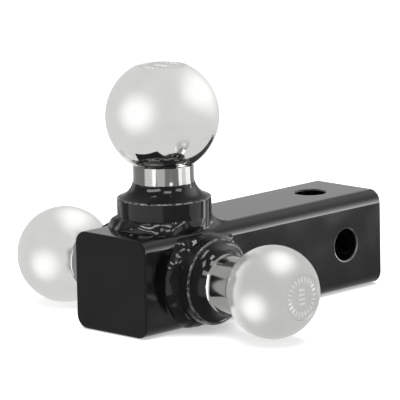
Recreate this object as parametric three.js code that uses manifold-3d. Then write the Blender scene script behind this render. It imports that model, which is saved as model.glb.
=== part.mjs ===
// Three-ball trailer hitch: a solid square shank that slides into a receiver, with a tow
// ball welded to its top and to each side, so that turning the shank picks the ball.
//
// Millimetres. The origin is on the shank's underside, straight below the point where the
// axes of the three balls meet. +Z is up, +Y runs along the shank to the end that goes into
// the receiver, and +X is the side of the smallest ball.

import * as THREE from 'three';
import { mergeVertices } from 'three/addons/utils/BufferGeometryUtils.js';
import Module from 'manifold-3d';

const wasm = await Module();
wasm.setup();

// ---------------------------------------------------------------- driving dimensions

const INCH = 25.4;
const GAP = 0.3;                        // clearance kept between pieces that touch
const ROUND_STEPS = 36;                 // facets round a turned piece
const ARC_STEPS = 3;                    // half the facets along an arc of a profile

const SHANK = {
  side: 2 * INCH,
  length: 7 * INCH,
  nose: 40,                             // how far it runs past the ball axes, away from the receiver
  cornerRadius: 6.8,
  endChamfer: 1.2,
};

const PIN_HOLE = {
  radius: (21 / 32) * INCH / 2,         // takes a 5/8 in hitch pin
  chamfer: 1.0,
  station: 110,                         // from the ball axes to the pin
};

const STEM = { radius: (3 / 8) * INCH, depth: 12 };

// Heights are above the shank face that the post stands on.
const POSTS = [
  {
    name: 'large', tilt: 0,
    ball: { radius: (2 + 5 / 16) * INCH / 2, height: 56.5, crownRadius: 13.1 },
    neck: { radius: 15.7, seat: 22.4 },
    collar: { radius: 24.4, flareRadius: 10.4, flareTop: 24.9 },
    weld: { halfWidth: 26 },
  },
  {
    name: 'medium', tilt: -Math.PI / 2,
    ball: { radius: 2 * INCH / 2, height: 49.5, crownRadius: 13.5 },
    neck: { radius: 15.2, seat: 18.3 },
    collar: { radius: 22.8, flareRadius: 9.0, flareTop: 20.9 },
    weld: { halfWidth: 25.1 },
  },
  {
    name: 'small', tilt: Math.PI / 2,
    ball: { radius: (1 + 7 / 8) * INCH / 2, height: 50.7, crownRadius: 12.5 },
    neck: { radius: 15.0, seat: 18.3 },
    collar: { radius: 22.3, flareRadius: 8.8, flareTop: 20.9 },
    weld: { halfWidth: 25.1 },
  },
];

const RIM_ROUNDING = 0.8;               // on the top edge of a collar
const CROWN_ROUNDING = 0.6;             // where the flat of a ball meets the sphere
const WELD = { rise: 5.6, run: 4.6, bulge: 1.2, undercut: 3 };

const FACE = SHANK.side / 2;            // from the shank's centre line to a face

// ---------------------------------------------------------------- materials

function finish(color, metalness, roughness) {
  return new THREE.MeshStandardMaterial({ color, metalness, roughness });
}

const chrome = () => finish(0xd4d5d4, 1.0, 0.08);
const blackPowderCoat = () => finish(0x1b1b1c, 0.0, 0.28);
const coatedWeld = () => finish(0x161617, 0.0, 0.36);

// ---------------------------------------------------------------- solids

// A closed geometry as a manifold solid. Only its positions count.
function solid(geometry) {
  const bare = new THREE.BufferGeometry();
  bare.setAttribute('position', geometry.getAttribute('position').clone());
  bare.setIndex(geometry.index ? geometry.index.clone() : null);
  const merged = mergeVertices(bare, 1e-4);
  const corners = merged.index.array;
  const kept = [];
  for (let i = 0; i < corners.length; i += 3) {
    const [a, b, c] = [corners[i], corners[i + 1], corners[i + 2]];
    if (a !== b && b !== c && c !== a) kept.push(a, b, c);
  }
  return new wasm.Manifold(new wasm.Mesh({
    numProp: 3,
    vertProperties: new Float32Array(merged.getAttribute('position').array),
    triVerts: new Uint32Array(kept),
  }));
}

function meshOf(name, body, material) {
  const { vertProperties, triVerts, numProp } = body.getMesh();
  const positions = new Float32Array((vertProperties.length / numProp) * 3);
  for (let i = 0; i < positions.length / 3; i += 1) {
    for (let axis = 0; axis < 3; axis += 1) positions[3 * i + axis] = vertProperties[numProp * i + axis];
  }
  const geometry = new THREE.BufferGeometry();
  geometry.setAttribute('position', new THREE.BufferAttribute(positions, 3));
  geometry.setIndex(new THREE.BufferAttribute(new Uint32Array(triVerts), 1));
  geometry.computeVertexNormals();
  const mesh = new THREE.Mesh(geometry, material);
  mesh.name = name;
  return mesh;
}

// A profile of (radius, height) points turned about +Z.
function turned(path) {
  return new THREE.LatheGeometry(path.getPoints(ARC_STEPS), ROUND_STEPS).rotateX(Math.PI / 2);
}

function roundedSquare(half, radius) {
  const flat = half - radius;
  const outline = new THREE.Shape();
  outline.moveTo(half, -flat);
  for (let corner = 0; corner < 4; corner += 1) {
    const start = corner * Math.PI / 2;
    const [across, up] = [[flat, flat], [-flat, flat], [-flat, -flat], [flat, -flat]][corner];
    outline.absarc(across, up, radius, start, start + Math.PI / 2, false);
  }
  outline.closePath();
  return outline;
}

// A length of the shank's section, grown outwards by `margin`, with its bevel inside the length.
function barBlank(margin, bevel) {
  const outline = roundedSquare(FACE + margin, SHANK.cornerRadius + margin);
  const geometry = new THREE.ExtrudeGeometry(outline, {
    depth: SHANK.length - 2 * bevel,
    curveSegments: ARC_STEPS,
    bevelEnabled: bevel > 0,
    bevelThickness: bevel,
    bevelSize: bevel,
    bevelOffset: -bevel,
    bevelSegments: 1,
  });
  geometry.rotateX(-Math.PI / 2);       // the extrusion now runs along +Y
  return solid(geometry.translate(0, bevel - SHANK.nose, FACE));
}

// Where a post stands: its own +Z leaves the shank face along the axis of its ball.
function postFrame(post) {
  const frame = new THREE.Group();
  frame.position.set(FACE * Math.sin(post.tilt), 0, FACE + FACE * Math.cos(post.tilt));
  frame.rotation.y = post.tilt;
  frame.updateMatrix();
  return frame;
}

// ---------------------------------------------------------------- shank

// A pin hole right through the section, chamfered at both mouths, about its own Z.
function pinHoleCutter() {
  const { radius, chamfer } = PIN_HOLE;
  const beyond = 1;                     // how far the cutter stands out of each face
  const path = new THREE.Path();
  path.moveTo(0, -FACE - beyond);
  path.lineTo(radius + chamfer + beyond, -FACE - beyond);
  path.lineTo(radius, -FACE + chamfer);
  path.lineTo(radius, FACE - chamfer);
  path.lineTo(radius + chamfer + beyond, FACE + beyond);
  path.lineTo(0, FACE + beyond);
  return turned(path);
}

function socketCutter(post) {
  const path = new THREE.Path();
  path.moveTo(0, -STEM.depth - GAP);
  path.lineTo(STEM.radius + GAP, -STEM.depth - GAP);
  path.lineTo(STEM.radius + GAP, 1);
  path.lineTo(0, 1);
  return solid(turned(path).applyMatrix4(postFrame(post).matrix));
}

function shankBar() {
  let bar = barBlank(0, SHANK.endChamfer);
  for (const turn of [0, Math.PI / 2]) {
    const cutter = pinHoleCutter().rotateY(turn).translate(0, PIN_HOLE.station, FACE);
    bar = bar.subtract(solid(cutter));
  }
  for (const post of POSTS) bar = bar.subtract(socketCutter(post));
  return meshOf('shank_bar', bar, blackPowderCoat());
}

// ---------------------------------------------------------------- posts

// The chromed piece: stem in the shank, neck on the collar, and the ball with its flat crown.
function towBall(post) {
  const { radius, height, crownRadius } = post.ball;
  const { seat } = post.neck;
  const foot = flareRadiusAt(post, seat);
  const underside = -Math.acos(post.neck.radius / radius);
  const shoulder = Math.acos((crownRadius + CROWN_ROUNDING) / radius);
  const crown = height + Math.sqrt(radius ** 2 - crownRadius ** 2);

  const path = new THREE.Path();
  path.moveTo(0, -STEM.depth);
  path.lineTo(STEM.radius, -STEM.depth);
  path.lineTo(STEM.radius, seat + GAP / 2);
  path.lineTo(foot, seat + GAP / 2);
  path.lineTo(post.neck.radius, post.collar.flareTop);
  path.absarc(0, height, radius, underside, 0, false);
  path.absarc(0, height, radius, 0, shoulder, false);
  path.lineTo(crownRadius, crown - CROWN_ROUNDING / 4);
  path.lineTo(crownRadius - CROWN_ROUNDING, crown);
  path.lineTo(0, crown);
  return meshOf(`${post.name}_ball`, solid(turned(path)), chrome());
}

// The radius of the concave flare at a height between the collar's rim and the top of the flare.
function flareRadiusAt(post, height) {
  const { flareRadius, flareTop } = post.collar;
  const centre = post.neck.radius + flareRadius;
  return centre - Math.sqrt(flareRadius ** 2 - (flareTop - height) ** 2);
}

// The round weld-on base: an upright edge, a rounded rim, and a flare up to the neck's seat.
function baseCollar(post) {
  const { radius, flareRadius, flareTop } = post.collar;
  const flareCentre = post.neck.radius + flareRadius;
  const rimInner = radius - RIM_ROUNDING;
  const rimTop = flareTop - Math.sqrt(flareRadius ** 2 - (flareCentre - rimInner) ** 2);
  const flareStart = Math.atan2(rimTop - flareTop, rimInner - flareCentre);
  const neckSeat = post.neck.seat - GAP / 2;
  const flareEnd = Math.atan2(neckSeat - flareTop, flareRadiusAt(post, neckSeat) - flareCentre);
  const bore = STEM.radius + GAP;

  const path = new THREE.Path();
  path.moveTo(bore, GAP);
  path.lineTo(radius, GAP);
  path.absarc(rimInner, rimTop - RIM_ROUNDING, RIM_ROUNDING, 0, Math.PI / 2, false);
  path.absarc(flareCentre, flareTop, flareRadius, flareStart, flareEnd, true);
  path.lineTo(bore, neckSeat);
  path.lineTo(bore, GAP);
  return meshOf(`${post.name}_base_collar`, solid(turned(path)), blackPowderCoat());
}

// The wedge of space that belongs to one post, between the diagonals of the shank's section.
function weldSector(post) {
  const { halfWidth } = post.weld;
  const apex = -FACE + GAP * Math.SQRT2;
  const shape = new THREE.Shape();
  shape.moveTo(0, apex);
  shape.lineTo(halfWidth, apex + halfWidth);
  shape.lineTo(halfWidth, 2 * WELD.rise);
  shape.lineTo(-halfWidth, 2 * WELD.rise);
  shape.lineTo(-halfWidth, apex + halfWidth);
  shape.closePath();
  const reach = 2 * FACE;
  const geometry = new THREE.ExtrudeGeometry(shape, { depth: 2 * reach, bevelEnabled: false });
  return solid(geometry.rotateX(Math.PI / 2).translate(0, reach, 0));
}

// The fillet weld that runs round the collar's foot and drapes over the shank's corners.
function weldBead(post) {
  const inner = post.collar.radius + GAP;
  const toe = new THREE.Vector2(inner + WELD.run, GAP);
  const head = new THREE.Vector2(inner, GAP + WELD.rise);
  const chord = toe.distanceTo(head);
  const bowRadius = (chord ** 2 / 4 + WELD.bulge ** 2) / (2 * WELD.bulge);
  const inward = new THREE.Vector2(-WELD.rise, -WELD.run).normalize();
  const bowCentre = toe.clone().lerp(head, 0.5).addScaledVector(inward, bowRadius - WELD.bulge);
  const toeAngle = toe.clone().sub(bowCentre).angle();
  const headAngle = head.clone().sub(bowCentre).angle();

  const path = new THREE.Path();
  path.moveTo(inner - WELD.undercut, -SHANK.cornerRadius);
  path.lineTo(toe.x, -SHANK.cornerRadius);
  path.absarc(bowCentre.x, bowCentre.y, bowRadius, toeAngle, headAngle, false);
  path.lineTo(inner, 0);
  path.lineTo(inner - WELD.undercut, 0);
  path.lineTo(inner - WELD.undercut, -SHANK.cornerRadius);

  const frame = postFrame(post);
  const shank = barBlank(GAP, 0).transform(frame.matrix.clone().invert().toArray());
  const bead = solid(turned(path)).intersect(weldSector(post)).subtract(shank);
  return meshOf(`${post.name}_weld_bead`, bead, coatedWeld());
}

// ---------------------------------------------------------------- assembly

const hitch = new THREE.Group();
hitch.add(shankBar());
for (const post of POSTS) {
  const frame = postFrame(post);
  frame.add(towBall(post), baseCollar(post), weldBead(post));
  hitch.add(frame);
}

export default hitch;
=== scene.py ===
"""Looks of a three-ball trailer hitch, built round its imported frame.

Everything is in the frame's own axes: +Z up along the largest ball, +Y along the shank to
its receiver end, +X towards the smallest ball. Shapes are worked out in millimetres and
turned into metres when a mesh is made.
"""

import math

import bmesh
import bpy
from mathutils import Matrix, Vector, noise


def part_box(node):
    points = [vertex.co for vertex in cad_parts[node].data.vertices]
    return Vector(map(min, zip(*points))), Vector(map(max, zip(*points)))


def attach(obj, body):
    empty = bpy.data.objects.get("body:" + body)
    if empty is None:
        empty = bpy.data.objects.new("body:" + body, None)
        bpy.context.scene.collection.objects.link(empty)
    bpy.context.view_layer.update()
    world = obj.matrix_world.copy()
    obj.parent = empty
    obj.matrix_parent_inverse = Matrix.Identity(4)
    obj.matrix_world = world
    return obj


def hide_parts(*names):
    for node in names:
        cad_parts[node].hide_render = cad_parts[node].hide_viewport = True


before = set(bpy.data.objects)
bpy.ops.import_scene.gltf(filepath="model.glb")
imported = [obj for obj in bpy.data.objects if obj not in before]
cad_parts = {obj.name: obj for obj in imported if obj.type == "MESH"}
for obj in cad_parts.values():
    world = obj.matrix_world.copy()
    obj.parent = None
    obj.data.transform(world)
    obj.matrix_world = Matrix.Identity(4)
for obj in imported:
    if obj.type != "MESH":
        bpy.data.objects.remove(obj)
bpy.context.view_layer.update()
BODY = "root"
MM = 0.001
UP = Vector((0, 0, 1))

# ------------------------------------------------------------------ dimensions, in mm

CORNER_RADIUS = 6.8          # along the shank
END_ROUNDING = 1.0           # round the shank's two ends
PIN_RADIUS = 21 / 32 * 25.4 / 2
PIN_CHAMFER = 1.0
PIN_STATION = 110            # from the ball axes
STEM_RADIUS = 3 / 8 * 25.4
STEM_DEPTH = 12
FIT_GAP = 0.3                # round a stem
RIM_ROUNDING = 0.8           # top edge of a collar
COAT = 0.12                  # how far the black coat stands over the chrome it overlaps
COAT_WANDER = 0.35           # how far the coat's edge strays up and down the neck

# What the boxes of the CAD nodes don't tell: heights are above the face the post stands on.
POSTS = {
    "large": dict(tilt=0, crown=13.1, neck=15.7, flare=10.4, flare_top=24.9, seat=22.4),
    "medium": dict(tilt=-90, crown=13.5, neck=15.2, flare=9.0, flare_top=20.9, seat=18.3),
    "small": dict(tilt=90, crown=12.5, neck=15.0, flare=8.8, flare_top=20.9, seat=18.3),
}
# The way each weld runs out low and smooth, in degrees round its post's own axis.
RUN_OUT = {"large": 45, "medium": 30, "small": 150}
# Tone of each ball's chrome. The small ball's plate, the same as the others', is painted darker as shade.
BALL_TONE_AND_SHADE = {"large": 0.85, "medium": 0.85, "small": 0.70}
# The necks' chrome is painted darker than the balls' same plate, as shade, each neck by its own amount.
NECK_PAINTED_SHADE_TONE = {"large": 0.20, "medium": 0.30, "small": 0.38}
BALL_HAZE = 0.25             # roughness of the balls' chrome
PLATE_HAZE = 14              # mm across the cloudy patches in chrome
PLATE_GRAIN = 0.6            # mm across its finest grain
COAT_CLOUD = 22              # mm across the patches in the black coat's tone
COAT_DARK = (0.0012, 0.0012, 0.0012)
COAT_PALE = (0.0035, 0.0035, 0.0035)
WEAR_AND_SHEEN_PATCH = 3               # mm along a pale edge between its paler and darker stretches, which are wear and painted highlight
# Where a ball's mirror-bright foot ends and its haze is full, as shares of the way from its
# centre (0) to its crown (1). A ball that is hazy all over has both far below it.
POLISHED_FOOT = {"large": (-0.52, -0.27), "medium": (-3.0, -2.5), "small": (-3.0, -2.5)}

WELD_RISE = 5.5              # up the collar's edge
WELD_RUN = 4.6               # out over the shank
WELD_BULGE = 1.0
RUN_OUT_SPREAD = 42          # degrees either way
RUN_OUT_LENGTH = 3.8         # farther out over the shank
RUN_OUT_HOLLOW = 2.3         # how far the bulge turns into a hollow, as a share of it
WELD_STEPS = 20              # from its toe to its head
TOE_WANDER = 0.9             # in and out over the shank
HEAD_WANDER = 0.6            # up and down the collar
SWELL_PITCH = 4.3            # how often the bead widens and narrows as it goes round
WANDER_PITCH = 5.0           # how often its ripples close up and open out
LUMP_LENGTH = 8.0            # mm from lump to lump
WELD_LEAN = 0.9              # how far the ripples bow, as a share of their pitch
EDGE_FADE = 0.7              # how quickly ripples and lumps grow from the bead's two edges
RIPPLE_PITCH = 6.5           # between the waves of the solidified weld pool
RIPPLE_DEPTH = 0.07
LUMP_DEPTH = 0.9             # of the uneven swellings along the bead

CROWN_RIM = 0.8              # width of the thin lip round a ball's flat
CROWN_RECESS = 0.4           # how far the flat lies below that lip
MARK_HEIGHT = 0.38           # of the stamped pattern on the flat
CROWN_TICKS = 24
# Painted shade and painted highlight on a ball's stamped flat: the flat is coloured darker and its raised
# marks lighter, for how light falls on the stamping.
FLAT_PAINTED_SHADE = {"large": 0.85, "medium": 0.92, "small": 0.97}      # beside the ball's own
MARK_PAINTED_HIGHLIGHT = {"large": 1.00, "medium": 1.15, "small": 1.22}
LIP_WEAR_AND_SHEEN = 1.0               # width of the paler ring round a pin hole's mouth: wear, and a painted highlight

ROUND_STEPS = 192            # round a turned piece
ARC_STEPS = 14               # along a small arc of a profile
CROWN_RINGS = 56             # across a ball's flat


# ------------------------------------------------------------------ places from the frame

def box_mm(node):
    low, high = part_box(node)
    return low / MM, high / MM


SHANK_LOW, SHANK_HIGH = box_mm("shank_bar")
FACE = (SHANK_HIGH.z - SHANK_LOW.z) / 2       # from the shank's centre line to a face
CENTRE = (SHANK_LOW.z + SHANK_HIGH.z) / 2     # height of that centre line


def post_matrix(name):
    """From a post's own axes, with +Z out of the shank's face, to the frame's, in mm."""
    turn = Matrix.Rotation(math.radians(POSTS[name]["tilt"]), 4, "Y")
    return Matrix.Translation((0, 0, CENTRE)) @ turn @ Matrix.Translation((0, 0, FACE))


def post_reach(node, name):
    """How far a node reaches from its post's axis, and how high above the shank's face."""
    low, high = box_mm(node)
    to_post = post_matrix(name).inverted()
    ends = [to_post @ low, to_post @ high]
    return high.y, max(end.z for end in ends)


def ball_places(name):
    """A ball's radius, its height above the shank's face, and the height of its flat's lip."""
    radius, top = post_reach(f"{name}_ball", name)
    return radius, top - math.sqrt(radius ** 2 - POSTS[name]["crown"] ** 2), top


# ------------------------------------------------------------------ meshes

def arc(across, height, radius, start, end, steps=ARC_STEPS):
    """Points of an arc, with the angles in radians."""
    angles = [start + (end - start) * i / steps for i in range(steps + 1)]
    return [(across + radius * math.cos(a), height + radius * math.sin(a)) for a in angles]


def turned(profile_at, steps=ROUND_STEPS):
    """Vertices and faces of a profile of (radius, height) points turned about +Z.

    profile_at(angle) gives the profile there. A point with radius 0 is on the axis."""
    verts = []
    rings = []
    for i in range(steps):
        angle = 2 * math.pi * i / steps
        for k, (radius, height) in enumerate(profile_at(angle)):
            if i == 0:
                rings.append([])
            if radius > 0 or i == 0:
                rings[k].append(len(verts))
                verts.append(Vector((radius * math.cos(angle), radius * math.sin(angle), height)))
    faces = []
    closed = len(rings[0]) > 1
    pairs = list(zip(rings, rings[1:] + rings[:1])) if closed else list(zip(rings, rings[1:]))
    for lower, upper in pairs:
        for i in range(steps):
            j = (i + 1) % steps
            if len(lower) == 1:
                faces.append((lower[0], upper[j], upper[i]))
            elif len(upper) == 1:
                faces.append((lower[i], lower[j], upper[0]))
            else:
                faces.append((lower[i], lower[j], upper[j], upper[i]))
    return verts, faces


def new_object(name, verts, faces, matrix=Matrix.Identity(4)):
    """A mesh object from points in mm, set up by a matrix in mm, with its faces turned outwards."""
    mesh = bpy.data.meshes.new(name)
    mesh.from_pydata([v * MM for v in verts], [], faces)
    shape = bmesh.new()
    shape.from_mesh(mesh)
    bmesh.ops.recalc_face_normals(shape, faces=shape.faces)
    shape.to_mesh(mesh)
    shape.free()
    made = bpy.data.objects.new(name, mesh)
    made.matrix_world = Matrix.Translation(matrix.translation * MM) @ matrix.to_3x3().to_4x4()
    bpy.context.scene.collection.objects.link(made)
    return made


def place(piece, node, material, sharp_angle=28):
    """Gives a piece its finish, and puts it in place of its CAD node."""
    piece.data.materials.clear()
    piece.data.materials.append(material)
    for face in piece.data.polygons:
        face.use_smooth = True
    piece.data.set_sharp_from_angle(angle=math.radians(sharp_angle))
    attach(piece, BODY)
    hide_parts(node)
    return piece


def apply_modifiers(piece):
    """Makes the mesh that the modifiers give the object's own mesh."""
    graph = bpy.context.evaluated_depsgraph_get()
    mesh = bpy.data.meshes.new_from_object(piece.evaluated_get(graph))
    piece.modifiers.clear()
    piece.data = mesh


# ------------------------------------------------------------------ materials

class Finish:
    """A Principled material under construction, with helpers to add its nodes."""

    def __init__(self, name, **constants):
        self.material = bpy.data.materials.new(name)
        self.material.use_nodes = True
        self.tree = self.material.node_tree
        self.shader = self.tree.nodes["Principled BSDF"]
        for socket, value in constants.items():
            self.shader.inputs[socket.replace("_", " ")].default_value = value
        self.place = self.tree.nodes.new("ShaderNodeTexCoord").outputs["Object"]

    def noise(self, size_mm, detail=2.0, distortion=0.0):
        """A noise between 0 and 1 whose features are about size_mm across."""
        node = self.tree.nodes.new("ShaderNodeTexNoise")
        node.inputs["Scale"].default_value = 1 / (size_mm * MM)
        node.inputs["Detail"].default_value = detail
        node.inputs["Distortion"].default_value = distortion
        self.tree.links.new(self.place, node.inputs["Vector"])
        return node.outputs["Fac"]

    def ramp(self, value, low, high, start=0.3, end=0.7):
        """The value spread over start to end, as a number from low to high."""
        node = self.tree.nodes.new("ShaderNodeMapRange")
        node.inputs["From Min"].default_value = start
        node.inputs["From Max"].default_value = end
        node.inputs["To Min"].default_value = low
        node.inputs["To Max"].default_value = high
        self.tree.links.new(value, node.inputs["Value"])
        return node.outputs["Result"]

    def colours(self, value, low, high, start=0.3, end=0.7):
        node = self.tree.nodes.new("ShaderNodeValToRGB")
        node.color_ramp.elements[0].position = start
        node.color_ramp.elements[0].color = (*low, 1)
        node.color_ramp.elements[1].position = end
        node.color_ramp.elements[1].color = (*high, 1)
        self.tree.links.new(value, node.inputs["Fac"])
        return node.outputs["Color"]

    def calculate(self, operation, first, second):
        """A sum, product and so on of two values, each a socket or a plain number."""
        node = self.tree.nodes.new("ShaderNodeMath")
        node.operation = operation
        for socket, value in zip(node.inputs, (first, second)):
            if isinstance(value, (int, float)):
                socket.default_value = value
            else:
                self.tree.links.new(value, socket)
        return node.outputs["Value"]

    def along_axis(self):
        """How far up the piece's own axis a point lies, in metres."""
        node = self.tree.nodes.new("ShaderNodeSeparateXYZ")
        self.tree.links.new(self.place, node.inputs["Vector"])
        return node.outputs["Z"]

    def from_axis(self, centre_mm=(0, 0, 0), keep=(1, 1, 0)):
        """How far a point lies from an axis through a centre, in metres. `keep` is 0 along it."""
        shifted = self.tree.nodes.new("ShaderNodeVectorMath")
        shifted.operation = "SUBTRACT"
        shifted.inputs[1].default_value = Vector(centre_mm) * MM
        self.tree.links.new(self.place, shifted.inputs[0])
        flat = self.tree.nodes.new("ShaderNodeVectorMath")
        flat.operation = "MULTIPLY"
        flat.inputs[1].default_value = keep
        self.tree.links.new(shifted.outputs["Vector"], flat.inputs[0])
        length = self.tree.nodes.new("ShaderNodeVectorMath")
        length.operation = "LENGTH"
        self.tree.links.new(flat.outputs["Vector"], length.inputs[0])
        return length.outputs["Value"]

    def band(self, value, low_mm, high_mm, edge_mm):
        """1 where a distance in metres is between two distances, fading to 0 at its edges."""
        rise = self.ramp(value, 0.0, 1.0, (low_mm - edge_mm) * MM, low_mm * MM)
        fall = self.ramp(value, 1.0, 0.0, high_mm * MM, (high_mm + edge_mm) * MM)
        return self.calculate("MULTIPLY", rise, fall)

    def scaled(self, colour, factor):
        node = self.tree.nodes.new("ShaderNodeVectorMath")
        node.operation = "SCALE"
        self.tree.links.new(colour, node.inputs[0])
        self.tree.links.new(factor, node.inputs["Scale"])
        return node.outputs["Vector"]

    def bump(self, height, depth_mm):
        node = self.tree.nodes.new("ShaderNodeBump")
        node.inputs["Strength"].default_value = 1.0
        node.inputs["Distance"].default_value = depth_mm * MM
        self.tree.links.new(height, node.inputs["Height"])
        return node.outputs["Normal"]

    def connect(self, output, socket):
        self.tree.links.new(output, self.shader.inputs[socket])


def plating(finish, tone):
    """The colour of chrome plate, and the cloudy haze that varies over it."""
    haze = finish.noise(PLATE_HAZE, detail=4)
    low, high = tone * 0.97, tone * 1.03
    finish.connect(finish.bump(finish.noise(PLATE_GRAIN), 0.0005), "Normal")
    return finish.colours(haze, (low, low, low * 0.975), (high, high, high * 0.975)), haze


def neck_chrome(name):
    """The mirror-bright chrome of a neck, its base colour painted darker than the balls' plate as shade."""
    finish = Finish(f"chrome_{name}_neck", Metallic=1.0)
    colour, haze = plating(finish, NECK_PAINTED_SHADE_TONE[name])
    finish.connect(colour, "Base Color")
    finish.connect(finish.ramp(haze, 0.07, 0.12), "Roughness")
    return finish.material


def ball_chrome(name):
    """A ball's hazy chrome, mirror-bright at the foot where POLISHED_FOOT says so. Its stamped
    flat is painted darker as shade, and the raised marks on it are painted brighter as highlights."""
    _, height, top = ball_places(name)
    floor = top - CROWN_RECESS
    finish = Finish(f"chrome_{name}_ball", Metallic=1.0)
    colour, haze = plating(finish, BALL_TONE_AND_SHADE[name])
    up_axis = finish.along_axis()

    low, high = (height + share * (top - height) for share in POLISHED_FOOT[name])
    polish = finish.ramp(up_axis, 0.15, 1.0, low * MM, high * MM)
    roughness = finish.ramp(haze, BALL_HAZE * 0.85, BALL_HAZE * 1.15)
    finish.connect(finish.calculate("MULTIPLY", roughness, polish), "Roughness")

    inside = finish.band(finish.from_axis(), 0, POSTS[name]["crown"] - CROWN_RIM, 0.1)
    on_top = finish.ramp(up_axis, 0.0, 1.0, (floor - 0.3) * MM, (floor - 0.1) * MM)
    flat = finish.calculate("MULTIPLY", inside, on_top)
    # The flat is painted darker as shade, and its raised marks are painted brighter as highlights.
    painted_light_tones = FLAT_PAINTED_SHADE[name] - 1, MARK_PAINTED_HIGHLIGHT[name] - 1
    tone = finish.ramp(up_axis, *painted_light_tones, floor * MM, (floor + MARK_HEIGHT) * MM)
    shade = finish.calculate("ADD", 1.0, finish.calculate("MULTIPLY", flat, tone))
    finish.connect(finish.scaled(colour, shade), "Base Color")
    return finish.material


def powder_coat(name, peel_mm, depth_mm, roughness, gloss, wear_and_sheen=None, wear_and_sheen_range=(0, 0)):
    """Black powder coat with its slight orange peel. gloss is its specular level, and the mask
    function gives where the coat is painted paler, for wear and as a painted highlight, which the range
    after it makes that many times paler."""
    finish = Finish(name, Specular_IOR_Level=gloss)
    cloud = finish.noise(COAT_CLOUD, detail=3)
    peel = finish.noise(peel_mm, detail=2, distortion=0.4)
    colour = finish.colours(cloud, COAT_DARK, COAT_PALE)
    if wear_and_sheen:
        # Paler where the coat wears on an edge, and where a highlight is painted along it.
        paler = finish.calculate("MULTIPLY", wear_and_sheen(finish), finish.ramp(finish.noise(WEAR_AND_SHEEN_PATCH), *wear_and_sheen_range))
        colour = finish.scaled(colour, finish.calculate("ADD", 1.0, paler))
    finish.connect(colour, "Base Color")
    finish.connect(finish.ramp(cloud, roughness - 0.02, roughness + 0.03), "Roughness")
    finish.connect(finish.bump(peel, depth_mm), "Normal")
    return finish.material


def pin_lip_wear_and_sheen(finish):
    """A mask of the rounded lips of both pin holes, where the coat is painted paler: partly wear, partly a
    painted highlight.
    """
    centre = (0, PIN_STATION, CENTRE)
    upright = finish.from_axis(centre, keep=(1, 1, 0))
    level = finish.from_axis(centre, keep=(0, 1, 1))
    start, end = PIN_RADIUS + 0.15, PIN_RADIUS + LIP_WEAR_AND_SHEEN
    rings = [finish.band(away, start, end, 0.1) for away in (upright, level)]
    return finish.calculate("MAXIMUM", *rings)


BALL_CHROME = {name: ball_chrome(name) for name in POSTS}
NECK_CHROME = {name: neck_chrome(name) for name in POSTS}
# The bar's coat is painted paler round the pin holes' lips: wear, and a painted highlight.
BAR_BLACK = powder_coat("powder_coated_bar", 2.4, 0.004, 0.10, 0.22, pin_lip_wear_and_sheen, (6, 26))
WELD_BLACK = powder_coat("coated_weld", 3.0, 0.004, 0.11, 0.085)


def collar_coat(name, rim_height):
    """The coat of one collar, painted paler along its rim: partly wear, partly a painted highlight on the
    rim's edge.
    """
    def rim(finish):
        # Painted paler along the rim: wear, and a painted highlight on the rim's edge.
        return finish.band(finish.along_axis(), rim_height - 0.45, rim_height, 0.15)

    return powder_coat(f"powder_coated_{name}_collar", 2.0, 0.003, 0.10, 0.075, rim, (-8, 26))


# ------------------------------------------------------------------ shank

def shank_section(inset, corner_steps=12):
    """The shank's rounded square in X and Z, shrunk by inset."""
    radius = CORNER_RADIUS - inset
    flat = FACE - CORNER_RADIUS
    points = []
    for corner, (across, up) in enumerate([(1, 1), (-1, 1), (-1, -1), (1, -1)]):
        start = corner * math.pi / 2
        points += arc(flat * across, flat * up, radius, start, start + math.pi / 2, corner_steps)
    return points


def shank_blank():
    stations = []
    for y_end, way in ((SHANK_LOW.y, 1), (SHANK_HIGH.y, -1)):
        rounding = arc(0, 0, END_ROUNDING, math.pi / 2, 0, 4)
        ring = [(y_end + way * (END_ROUNDING - rise), END_ROUNDING - run) for run, rise in rounding]
        stations += ring if way > 0 else ring[::-1]
    verts = []
    for y, inset in stations:
        verts += [Vector((x, y, z + CENTRE)) for x, z in shank_section(inset)]
    count = len(verts) // len(stations)
    faces = [tuple(range(count)), tuple(range(len(verts) - count, len(verts)))]
    for k in range(len(stations) - 1):
        for i in range(count):
            j = (i + 1) % count
            base = k * count
            faces.append((base + i, base + j, base + count + j, base + count + i))
    return new_object("shank", verts, faces)


def pin_hole_cutter(turn):
    beyond = 2.0
    mouth = FACE + beyond
    lip = arc(PIN_RADIUS + PIN_CHAMFER, FACE - PIN_CHAMFER, PIN_CHAMFER, math.pi, math.pi / 2, 6)
    half = [(PIN_RADIUS + PIN_CHAMFER, mouth), *lip[::-1]]
    lower = [(r, -h) for r, h in half]
    profile = [(0, -mouth), *lower, *half[::-1], (0, mouth)]
    around = Matrix.Rotation(turn, 4, "Y")
    matrix = Matrix.Translation((0, PIN_STATION, CENTRE)) @ around
    return new_object("pin_cutter", *turned(lambda angle: profile, 96), matrix)


def socket_cutter(name):
    radius = STEM_RADIUS + FIT_GAP
    profile = [(0, -STEM_DEPTH - FIT_GAP), (radius, -STEM_DEPTH - FIT_GAP), (radius, 2), (0, 2)]
    return new_object("socket_cutter", *turned(lambda angle: profile, 64), post_matrix(name))


def make_shank():
    bar = shank_blank()
    cutters = [pin_hole_cutter(0), pin_hole_cutter(math.pi / 2)]
    cutters += [socket_cutter(name) for name in POSTS]
    for cutter in cutters:
        cut = bar.modifiers.new("cut", "BOOLEAN")
        cut.operation = "DIFFERENCE"
        cut.solver = "EXACT"
        cut.object = cutter
    apply_modifiers(bar)
    for cutter in cutters:
        bpy.data.objects.remove(cutter)
    place(bar, "shank_bar", BAR_BLACK, sharp_angle=50)
    weighted = bar.modifiers.new("flat faces stay flat", "WEIGHTED_NORMAL")
    weighted.keep_sharp = True
    return bar


# ------------------------------------------------------------------ posts

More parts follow.
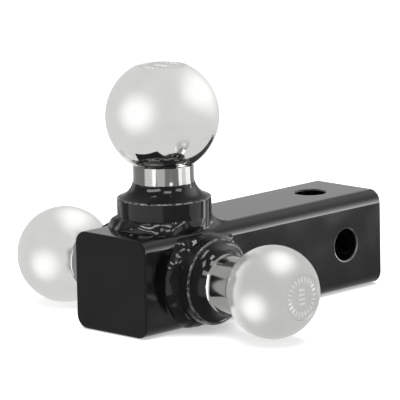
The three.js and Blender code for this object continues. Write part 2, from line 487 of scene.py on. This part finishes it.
def flare_radius(post, height):
    """The radius of the concave flare between the collar's rim and the neck."""
    rise = min(max(post["flare_top"] - height, 0), post["flare"])
    return post["neck"] + post["flare"] - math.sqrt(post["flare"] ** 2 - rise ** 2)


def smooth_step(low, high, value):
    t = min(max((value - low) / (high - low), 0), 1)
    return t * t * (3 - 2 * t)


def crown_marks(share, angle):
    """Height, from 0 to 1, of the plain pattern stamped on a ball's flat: a ring of ticks
    round a short stack of bars. share is the distance from the middle as a share of the flat."""
    swing = abs(((angle * CROWN_TICKS / (2 * math.pi)) % 1) - 0.5) * 2
    ring = smooth_step(0.62, 0.67, share) * smooth_step(0.90, 0.85, share)
    ticks = ring * smooth_step(0.40, 0.60, swing)
    along, across = share * math.cos(angle), share * math.sin(angle)
    step = abs(((along + 0.1) / 0.2) % 1 - 0.5) * 2
    bars = smooth_step(0.35, 0.6, step) * smooth_step(0.46, 0.42, abs(along))
    return max(ticks, bars * smooth_step(0.2, 0.16, abs(across)))


def neck_join(name):
    """Where the neck's fillet meets the ball: the fillet's radius and centre height, and how
    far round the ball the meeting point lies below the equator."""
    radius, height, _ = ball_places(name)
    fillet = 1.0
    turn = math.acos((POSTS[name]["neck"] + fillet) / (radius + fillet))
    return fillet, height - (radius + fillet) * math.sin(turn), turn


def make_ball(name):
    """The chromed ball with its stamped flat crown."""
    crown = POSTS[name]["crown"]
    radius, height, top = ball_places(name)
    _, _, turn = neck_join(name)
    edge = math.acos((crown + 0.25) / radius)
    floor = top - CROWN_RECESS
    inner = crown - CROWN_RIM

    profile = [(0, height - radius * math.sin(turn))]
    profile += arc(0, height, radius, -turn, edge, 90)
    profile += [(crown - 0.1, top), (inner + 0.25, top), (inner, floor)]

    def profile_at(angle):
        points = list(profile)
        for k in range(1, CROWN_RINGS):
            share = 1 - k / CROWN_RINGS
            points.append((inner * share, floor + MARK_HEIGHT * crown_marks(share, angle)))
        points.append((0, floor))
        return points

    ball = new_object(f"{name}_ball_chrome", *turned(profile_at, 2 * ROUND_STEPS), post_matrix(name))
    return place(ball, f"{name}_ball", BALL_CHROME[name], sharp_angle=40)


def make_neck(name):
    """The polished neck under a ball, and the stem that goes on down into the shank."""
    post = POSTS[name]
    _, height, _ = ball_places(name)
    fillet, underside, turn = neck_join(name)
    low = post["seat"] - 2.0
    steps = 24

    profile = [(0, -STEM_DEPTH), (STEM_RADIUS, -STEM_DEPTH), (STEM_RADIUS, low - 0.2)]
    for i in range(steps + 1):
        at = low + (post["flare_top"] - low) * i / steps
        profile.append((flare_radius(post, at), at))
    profile += arc(post["neck"] + fillet, underside, fillet, math.pi, math.pi - turn, 8)
    profile.append((0, profile[-1][1]))

    neck = new_object(f"{name}_neck_chrome", *turned(lambda angle: profile), post_matrix(name))
    return place(neck, f"{name}_ball", NECK_CHROME[name], sharp_angle=35)


def make_collar(name):
    """The black flared base. The coat's upper edge wanders a little where it was masked."""
    post = POSTS[name]
    radius, _ = post_reach(f"{name}_base_collar", name)
    centre = post["neck"] + post["flare"]
    rim_inner = radius - RIM_ROUNDING
    rim_top = post["flare_top"] - math.sqrt(post["flare"] ** 2 - (centre - rim_inner) ** 2)
    bore = STEM_RADIUS + FIT_GAP
    foot = 0.4

    def profile_at(angle):
        around = Vector((math.cos(angle), math.sin(angle), 0))
        stray = noise.noise(around * 3.1) + 0.5 * noise.noise(around * 9.0)
        edge = post["seat"] + COAT_WANDER * stray
        points = [(bore, 0), *arc(radius - foot, foot, foot, -math.pi / 2, 0, 4)]
        points += arc(rim_inner, rim_top - RIM_ROUNDING, RIM_ROUNDING, 0, math.pi / 2, 10)
        steps = 28
        for i in range(1, steps + 1):
            at = rim_top + (edge - rim_top) * (i / steps)
            points.append((flare_radius(post, at) + COAT, at))
        points.append((flare_radius(post, edge) + COAT * 0.6, edge + 0.1))
        points.append((flare_radius(post, edge) - 0.4, edge + 0.12))
        points.append((bore, post["seat"] - 2.5))
        return points

    collar = new_object(f"{name}_collar_black", *turned(profile_at), post_matrix(name))
    coat = collar_coat(name, rim_top)
    return place(collar, f"{name}_base_collar", coat, sharp_angle=50)


def shank_drop(across):
    """How far the shank's surface lies below its face at a distance from its centre line."""
    into = abs(across) - (FACE - CORNER_RADIUS)
    if into <= 0:
        return 0
    return CORNER_RADIUS - math.sqrt(max(CORNER_RADIUS ** 2 - into ** 2, 0))


def weld_limit(name, angle):
    """How far across the shank a weld's toe may reach: to the corner's diagonal beside
    another post, and nearly to the side face where there is none."""
    flat = FACE - CORNER_RADIUS
    diagonal = flat + CORNER_RADIUS * math.cos(math.radians(50))
    side = flat + CORNER_RADIUS * math.cos(math.radians(14))
    free_side = {"large": 0, "medium": -1, "small": 1}[name]
    return side if free_side * math.cos(angle) > 0 else diagonal


def weld_run_out(name, angle):
    """1 where a weld runs out low and smooth, and 0 where it is a full, lumpy bead."""
    away = (math.degrees(angle) - RUN_OUT[name] + 180) % 360 - 180
    return 1 - smooth_step(RUN_OUT_SPREAD * 0.4, RUN_OUT_SPREAD, abs(away))


def make_weld(name):
    """The uneven fillet weld round a collar's foot, draped over the shank's corners."""
    collar_radius, _ = post_reach(f"{name}_base_collar", name)
    reach = collar_radius + WELD_RUN
    ripples = round(2 * math.pi * reach / RIPPLE_PITCH)

    def profile_at(angle):
        around = Vector((math.cos(angle), math.sin(angle), 0))
        swell = noise.noise(around * SWELL_PITCH + Vector((0, 0, reach)))
        wander = 0.5 * noise.noise(around * WANDER_PITCH + Vector((reach, 0, 0)))
        run_out = weld_run_out(name, angle)
        limit = weld_limit(name, angle) / max(abs(math.cos(angle)), 1e-6)
        toe = soft_min(reach + TOE_WANDER * swell + RUN_OUT_LENGTH * run_out, limit, 1.5)
        foot = Vector((toe, -shank_drop(toe * math.cos(angle))))
        head = Vector((collar_radius - 0.05, WELD_RISE + HEAD_WANDER * swell))
        out = Vector((head.y - foot.y, foot.x - head.x)).normalized()
        middle = (head + foot) / 2 + out * 2 * WELD_BULGE * (1 - RUN_OUT_HOLLOW * run_out)
        points = []
        for k in range(WELD_STEPS + 1):
            t = k / WELD_STEPS
            point = head * (1 - t) ** 2 + middle * 2 * t * (1 - t) + foot * t ** 2
            phase = angle * ripples + 2 * math.pi * (WELD_LEAN * (t - 0.5) ** 2 + wander)
            lump = noise.noise(around * reach / LUMP_LENGTH + Vector((0, 0, 1.1 * t + reach)))
            fade = math.sin(math.pi * t) ** EDGE_FADE * (1 - run_out)
            point += out * fade * (RIPPLE_DEPTH * math.sin(phase) + LUMP_DEPTH * lump)
            point.x = min(point.x, (FACE - 0.05) / max(abs(math.cos(angle)), 1e-6))
            points.append(point)
        inside = Vector((foot.x - 1.0, foot.y - 1.4))
        points += [inside, Vector((collar_radius - 3.0, -1.6)), Vector((collar_radius - 1.5, 2.0))]
        return [(p.x, p.y) for p in points[::-1]]

    weld = new_object(f"{name}_weld_rippled", *turned(profile_at, 10 * ripples), post_matrix(name))
    return place(weld, f"{name}_weld_bead", WELD_BLACK, sharp_angle=60)


def soft_min(a, b, width):
    """The smaller of two numbers, with the switch between them rounded off."""
    share = min(max(0.5 + 0.5 * (b - a) / width, 0), 1)
    return b * (1 - share) + a * share - width * share * (1 - share) * 0.5


# ------------------------------------------------------------------ camera and light

# Degrees, and mm. pan is how far the camera stands to the right of, and above, the shank's middle.
CAMERA = dict(
    azimuth=44.6,
    elevation=10.98,
    roll=-1.22,
    distance=2155.8,
    pan=(17.64, 37.27),
    lens=376.1,
)
RIM, UPWARDS = "to the rim", "upwards"      # the ways a light can fade
UPWARD_FADE = 2.2                           # how steeply
REACH = 4.0                  # metres from the object to the lights that are linked to a part of it
WORLD_TONE = 0.74            # of the plain studio all round
FLOOR_HALF = 8.0             # metres
FLOOR_DROP = 0.0003          # metres below the shank
FLOOR_GLOW = 0.4             # the floor is lit from beneath too, which keeps shadows light
MIDDLE = Vector((0, 0, CENTRE)) * MM

# Where each ball shows its two soft highlights, as shares of its radius to the right and up,
# with the size of the light in degrees and its radiance.
HIGHLIGHTS = {
    "large": [(-0.447, 0.027, 95, 0.53), (0.657, 0.424, 84, 0.5)],
    "medium": [(-0.416, -0.233, 90, 0.5), (0.187, 0.744, 76, 0.5)],
    "small": [(-0.439, -0.338, 84, 0.78), (0.168, 0.647, 78, 0.78)],
}
WIDEST = 125                 # degrees

# Light on the side balls from where the shank stands, so that its reflection stays faint.
FILL = dict(size=(105, 105), radiance=0.5)


def card(turn, elevation, width, height, radiance, fade=None):
    """A light that many degrees to the right of the camera, and above the horizon."""
    return dict(turn=turn, elevation=elevation, size=(width, height), radiance=radiance, fade=fade)


NECK_CARDS = [
    card(-36, -10, 24, 90, 3.5, RIM),
    card(-52, -10, 46, 90, 1.9),
    card(-10, -10, 30, 90, 1.2),
    card(66, -10, 14, 90, 3.8),
    card(84, -10, 22, 90, 2.2),
    card(107, -10, 26, 90, 3.6),
    card(28, 4, 20, 34, 5, RIM),
]
COAT_CARDS = [
    card(-135, -10, 24, 60, 1.1),
    card(-50, -10, 92, 60, 3.6),
    card(82, -10, 36, 60, 4),
    card(115, -10, 9, 60, 11),
    card(134, -10, 22, 60, 0.7),
    card(112, 30, 80, 70, 5, RIM),
    card(-40, 36, 44, 13, 34),
    card(16, 48, 20, 13, 32),
    card(60, 34, 18, 13, 30),
    card(-70, 74, 16, 16, 40),
    card(60, 78, 16, 16, 40),
]
BAR_CARDS = [
    card(90, 13.5, 90, 45, 17, UPWARDS),
    card(120, 42, 80, 60, 0.9, RIM),
    card(180, 14, 90, 60, 0.12, RIM),
]


def camera_axes():
    """The camera's right, up and backward directions."""
    a, e = math.radians(CAMERA["azimuth"]), math.radians(CAMERA["elevation"])
    back = Vector((math.sin(a) * math.cos(e), -math.cos(a) * math.cos(e), math.sin(e)))
    right = Vector((math.cos(a), math.sin(a), 0))
    up = back.cross(right)
    r = math.radians(CAMERA["roll"])
    return math.cos(r) * right + math.sin(r) * up, math.cos(r) * up - math.sin(r) * right, back


def make_camera():
    right, up, back = camera_axes()
    pan = CAMERA["pan"]
    place_mm = Vector((0, 0, CENTRE)) + back * CAMERA["distance"] + right * pan[0] + up * pan[1]
    data = bpy.data.cameras.new("camera")
    data.lens = CAMERA["lens"]
    data.clip_end = 100
    camera = bpy.data.objects.new("camera", data)
    camera.matrix_world = Matrix.Translation(place_mm * MM) @ Matrix((right, up, back)).transposed().to_4x4()
    bpy.context.scene.collection.objects.link(camera)
    bpy.context.scene.camera = camera


RIGHT, UPWARD, BACKWARD = camera_axes()


def mirrored(normal):
    """The direction that a mirror with this normal shows to the camera."""
    return normal * (2 * normal.dot(BACKWARD)) - BACKWARD


def from_camera(turn, elevation):
    """A direction that many degrees to the right of the camera's, and above the horizon."""
    a, e = math.radians(CAMERA["azimuth"] + turn), math.radians(elevation)
    return Vector((math.sin(a) * math.cos(e), -math.cos(a) * math.cos(e), math.sin(e)))


def soft_light(name, centre, direction, size, radiance, only, shade=None, fade=None, across=None):
    """An area light that faces a point from REACH away and reaches the `only` pieces. The
    `shade` pieces can stand in its way, or the lit ones alone. size is its width and height in
    degrees, seen from the point, and `across` is the way its width runs, or else it is level."""
    depth = direction.normalized()
    level = across or UP.cross(depth)
    width_axis = (level - depth * level.dot(depth)).normalized()
    turn = Matrix((width_axis, depth.cross(width_axis), depth)).transposed()
    width, height = (2 * REACH * math.tan(math.radians(angle / 2)) for angle in size)
    data = bpy.data.lights.new(name, "AREA")
    data.shape = "ELLIPSE" if fade == RIM else "RECTANGLE"
    data.size = width
    data.size_y = height
    data.energy = radiance * math.pi * width * height * (math.pi / 4 if fade == RIM else 1)
    light = bpy.data.objects.new(name, data)
    light.matrix_world = Matrix.Translation(centre + depth * REACH) @ turn.to_4x4()
    light.light_linking.receiver_collection = only
    light.light_linking.blocker_collection = shade or only
    bpy.context.scene.collection.objects.link(light)
    if fade:
        feather(data, fade)


def feather(data, fade):
    """Makes a light fade smoothly from its middle to its rim, or from its foot upwards."""
    data.use_nodes = True
    tree = data.node_tree
    spot = tree.nodes.new("ShaderNodeNewGeometry").outputs["Parametric"]
    strength = tree.nodes["Emission"].inputs["Strength"]
    if fade == RIM:
        offset = tree.nodes.new("ShaderNodeVectorMath")
        offset.operation = "DISTANCE"
        offset.inputs[1].default_value = (0.5, 0.5, 0)
        ease = tree.nodes.new("ShaderNodeMapRange")
        ease.interpolation_type = "SMOOTHERSTEP"
        ease.inputs["From Min"].default_value = 0.5
        ease.inputs["From Max"].default_value = 0.0
        tree.links.new(spot, offset.inputs[0])
        tree.links.new(offset.outputs["Value"], ease.inputs["Value"])
        tree.links.new(ease.outputs["Result"], strength)
    else:
        parts = tree.nodes.new("ShaderNodeSeparateXYZ")
        flip = tree.nodes.new("ShaderNodeMath")
        flip.operation = "SUBTRACT"
        flip.inputs[0].default_value = 1.0
        power = tree.nodes.new("ShaderNodeMath")
        power.operation = "POWER"
        power.inputs[1].default_value = UPWARD_FADE
        tree.links.new(spot, parts.inputs["Vector"])
        tree.links.new(parts.outputs["Y"], flip.inputs[1])
        tree.links.new(flip.outputs["Value"], power.inputs[0])
        tree.links.new(power.outputs["Value"], strength)


def group(name, pieces):
    """A collection of pieces for lights to be linked to."""
    made = bpy.data.collections.new(name)
    for piece in pieces:
        made.objects.link(piece)
    return made


def make_highlights(name, ball):
    """Two feathered lights for one ball, which alone they light, and a fill for a side ball."""
    _, height, _ = ball_places(name)
    matrix = post_matrix(name)
    middle = matrix @ Vector((0, 0, height)) * MM
    only = group(f"{name}_ball_lit", [ball])
    for number, (across, rise, size, radiance) in enumerate(HIGHLIGHTS[name]):
        facing = math.sqrt(1 - across ** 2 - rise ** 2)
        normal = RIGHT * across + UPWARD * rise + BACKWARD * facing
        stretched = (min(size / facing, WIDEST), size)       # a curved mirror squeezes it again
        label = f"{name}_highlight_{number}"
        soft_light(label, middle, mirrored(normal), stretched, radiance, only, fade=RIM, across=normal)
    if POSTS[name]["tilt"]:
        inward = matrix.to_3x3() @ -UP
        soft_light(f"{name}_fill", middle, inward, FILL["size"], FILL["radiance"], only, fade=RIM)


def make_reflectors(family, cards, pieces, shade=None):
    """The cards and lamps whose reflections shape one kind of surface, which the `shade`
    pieces can hide from it."""
    only = group(f"{family}_lit", pieces)
    shade = shade and group(f"{family}_shade", shade)
    for number, spec in enumerate(cards):
        direction = from_camera(spec["turn"], spec["elevation"])
        label = f"{family}_card_{number}"
        soft_light(label, MIDDLE, direction, spec["size"], spec["radiance"], only, shade, spec["fade"])


def make_room():
    scene = bpy.context.scene
    scene.view_settings.view_transform = "Standard"
    scene.world = bpy.data.worlds.new("studio")
    scene.world.use_nodes = True
    background = scene.world.node_tree.nodes["Background"]
    background.inputs["Color"].default_value = (WORLD_TONE, WORLD_TONE, WORLD_TONE, 1)
    background.inputs["Strength"].default_value = 1.0

    half = FLOOR_HALF
    corners = [(-half, -half, 0), (half, -half, 0), (half, half, 0), (-half, half, 0)]
    floor_mesh = bpy.data.meshes.new("floor")
    floor_mesh.from_pydata(corners, [], [(0, 1, 2, 3)])
    floor = bpy.data.objects.new("floor", floor_mesh)
    floor.location.z = -FLOOR_DROP
    floor.visible_glossy = False         # so that the gloss shows the plain studio all round
    scene.collection.objects.link(floor)
    paper = Finish("pale_floor", Roughness=0.9, Specular_IOR_Level=0.1)
    paper.connect(paper.colours(paper.noise(400), (0.90, 0.90, 0.90), (0.92, 0.92, 0.92)), "Base Color")
    paper.shader.inputs["Emission Color"].default_value = (1, 1, 1, 1)
    paper.shader.inputs["Emission Strength"].default_value = FLOOR_GLOW
    floor_mesh.materials.append(paper.material)

    data = bpy.data.lights.new("overhead", "AREA")
    data.shape = "DISK"
    data.size = 2.6
    data.energy = 60
    overhead = bpy.data.objects.new("overhead", data)
    overhead.location = (0, 0, 2.2)
    overhead.visible_glossy = False
    scene.collection.objects.link(overhead)


# ------------------------------------------------------------------ the scene

shank = make_shank()
balls = {name: make_ball(name) for name in POSTS}
necks = [make_neck(name) for name in POSTS]
bases = [make(name) for name in POSTS for make in (make_collar, make_weld)]
make_camera()
for ball_name, ball in balls.items():
    make_highlights(ball_name, ball)
all_pieces = [shank, *balls.values(), *necks, *bases]
make_reflectors("neck", NECK_CARDS, necks)
make_reflectors("coat", COAT_CARDS, bases, shade=all_pieces)
make_reflectors("bar", BAR_CARDS, [shank], shade=all_pieces)
make_room()
